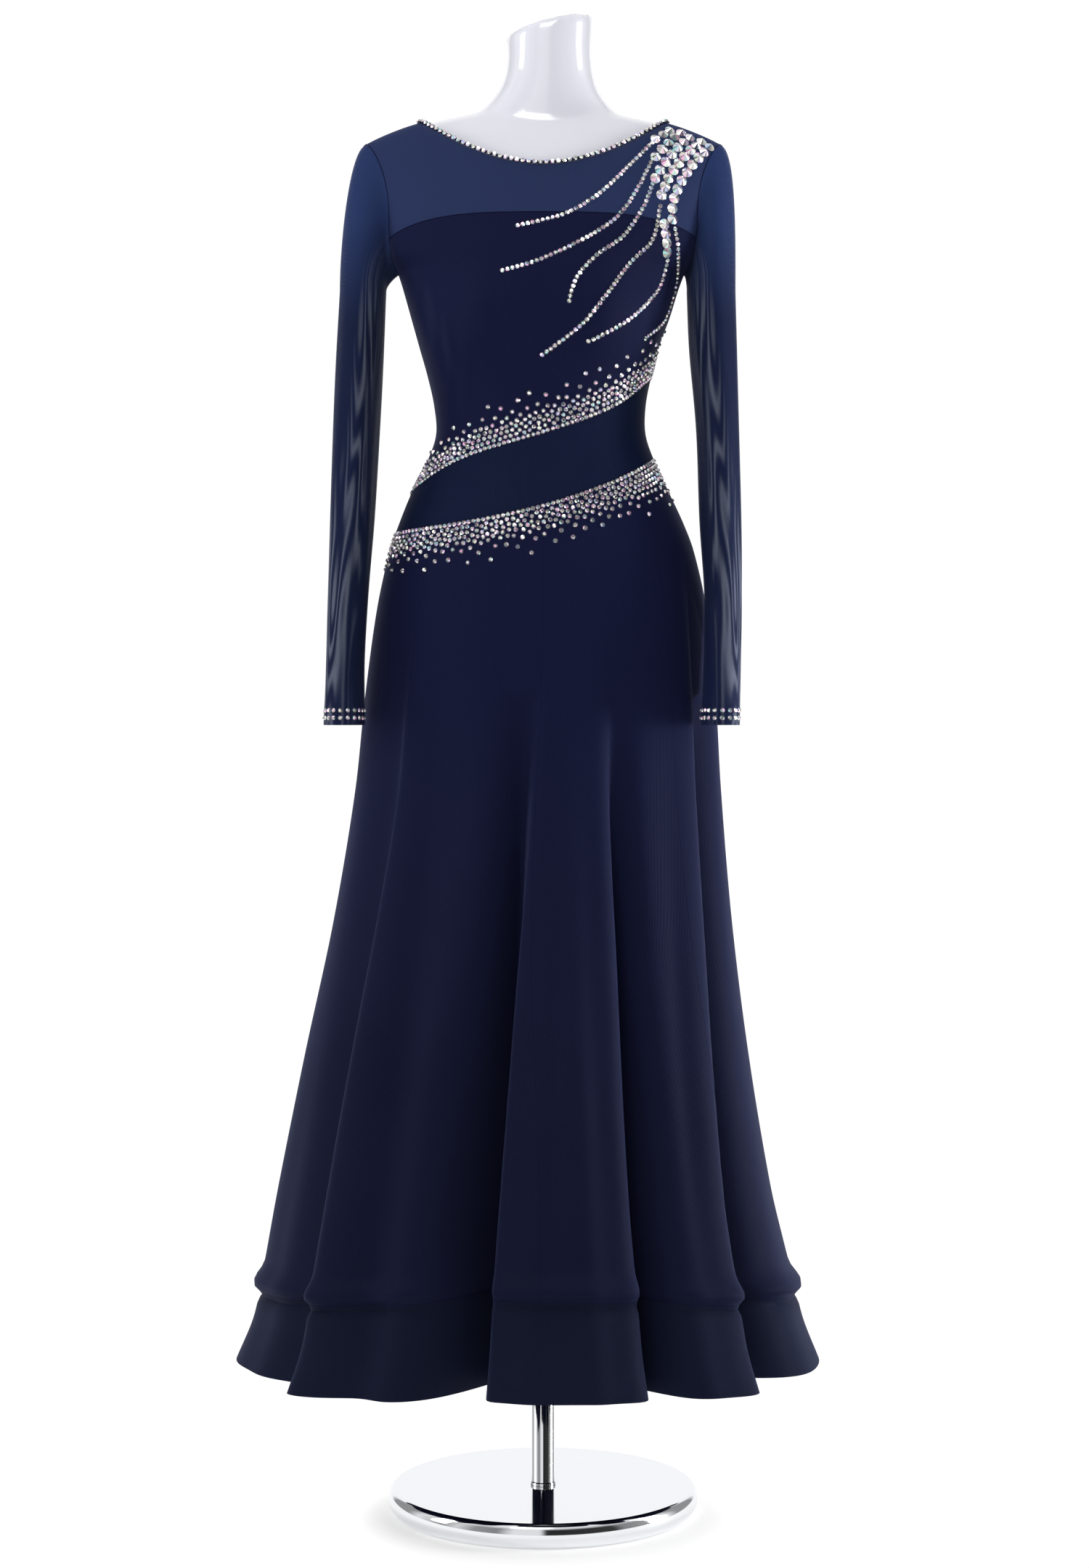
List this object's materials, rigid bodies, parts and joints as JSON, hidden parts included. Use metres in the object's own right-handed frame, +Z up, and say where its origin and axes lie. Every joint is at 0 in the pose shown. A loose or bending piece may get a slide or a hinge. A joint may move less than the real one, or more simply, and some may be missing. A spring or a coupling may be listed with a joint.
{
  "type": "ballroom dance gown on a dress form stand",
  "caption": "Navy long-sleeved ballroom dance gown with sheer yoke, sleeves and waist, crystal trim and a flared gored skirt, on a limbless dress form with a pole and round base.",
  "frame": {"origin": "centre of the round base's underside, on the pole's axis", "axes": "+Z up along the pole, -Y towards the gown's front, +X towards the viewer's right when facing the front"},
  "size_m": [0.6394, 0.4675, 1.644],
  "materials": {
    "jersey": "matte navy stretch jersey",
    "mesh_cloth": "sheer navy stretch mesh",
    "crystals": "faceted iridescent crystal stones",
    "form_shell": "glossy pearl white",
    "polished_steel": "mirror polished"
  },
  "bodies": {
    "root": {"yoke_front": "mesh_cloth", "yoke_back": "mesh_cloth", "bodice_front": "jersey", "bodice_back": "jersey", "waist_insert_front": "mesh_cloth", "waist_insert_back": "mesh_cloth", "gore_1": "jersey", "gore_2": "jersey", "gore_3": "jersey", "gore_4": "jersey", "gore_5": "jersey", "gore_6": "jersey", "gore_7": "jersey", "gore_8": "jersey", "hem_band_1": "jersey", "hem_band_2": "jersey", "hem_band_3": "jersey", "hem_band_4": "jersey", "hem_band_5": "jersey", "hem_band_6": "jersey", "hem_band_7": "jersey", "hem_band_8": "jersey", "sleeve_left": "mesh_cloth", "sleeve_right": "mesh_cloth", "neck_binding": "jersey", "form_torso": "form_shell", "form_plate": "polished_steel", "pole_collar": "polished_steel", "pole": "polished_steel", "base_disc": "polished_steel"}
  },
  "joints": []
}
